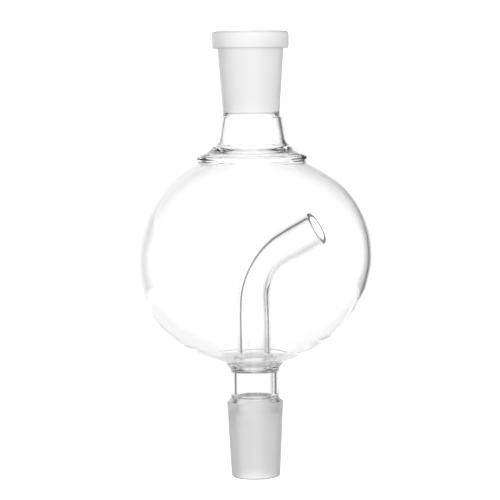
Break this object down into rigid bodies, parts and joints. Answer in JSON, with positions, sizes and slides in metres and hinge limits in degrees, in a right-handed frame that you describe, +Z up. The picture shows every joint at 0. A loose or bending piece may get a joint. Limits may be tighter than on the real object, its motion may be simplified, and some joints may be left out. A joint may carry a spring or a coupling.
{
  "type": "rotary evaporator splash trap",
  "caption": "Blown glass bulb with a ground socket above, a ground cone below and a bent vapour tube inside, to catch splashes and foam between flask and evaporator.",
  "frame": {"origin": "centre of the lower face of the ground cone's tip", "axes": "+Z up along the glass axis, from the cone to the socket; +X towards the mouth of the bent vapour tube"},
  "size_m": [0.102, 0.102, 0.1906],
  "materials": {
    "clear_glass": "polished",
    "ground_glass": "matte"
  },
  "bodies": {
    "root": {"ground_cone": "ground_glass", "lower_neck": "clear_glass", "ring_seal": "clear_glass", "bulb": "clear_glass", "vapour_tube": "clear_glass", "shoulder_bead": "clear_glass", "upper_neck": "clear_glass", "ground_socket": "ground_glass", "socket_rim": "ground_glass"}
  },
  "joints": []
}
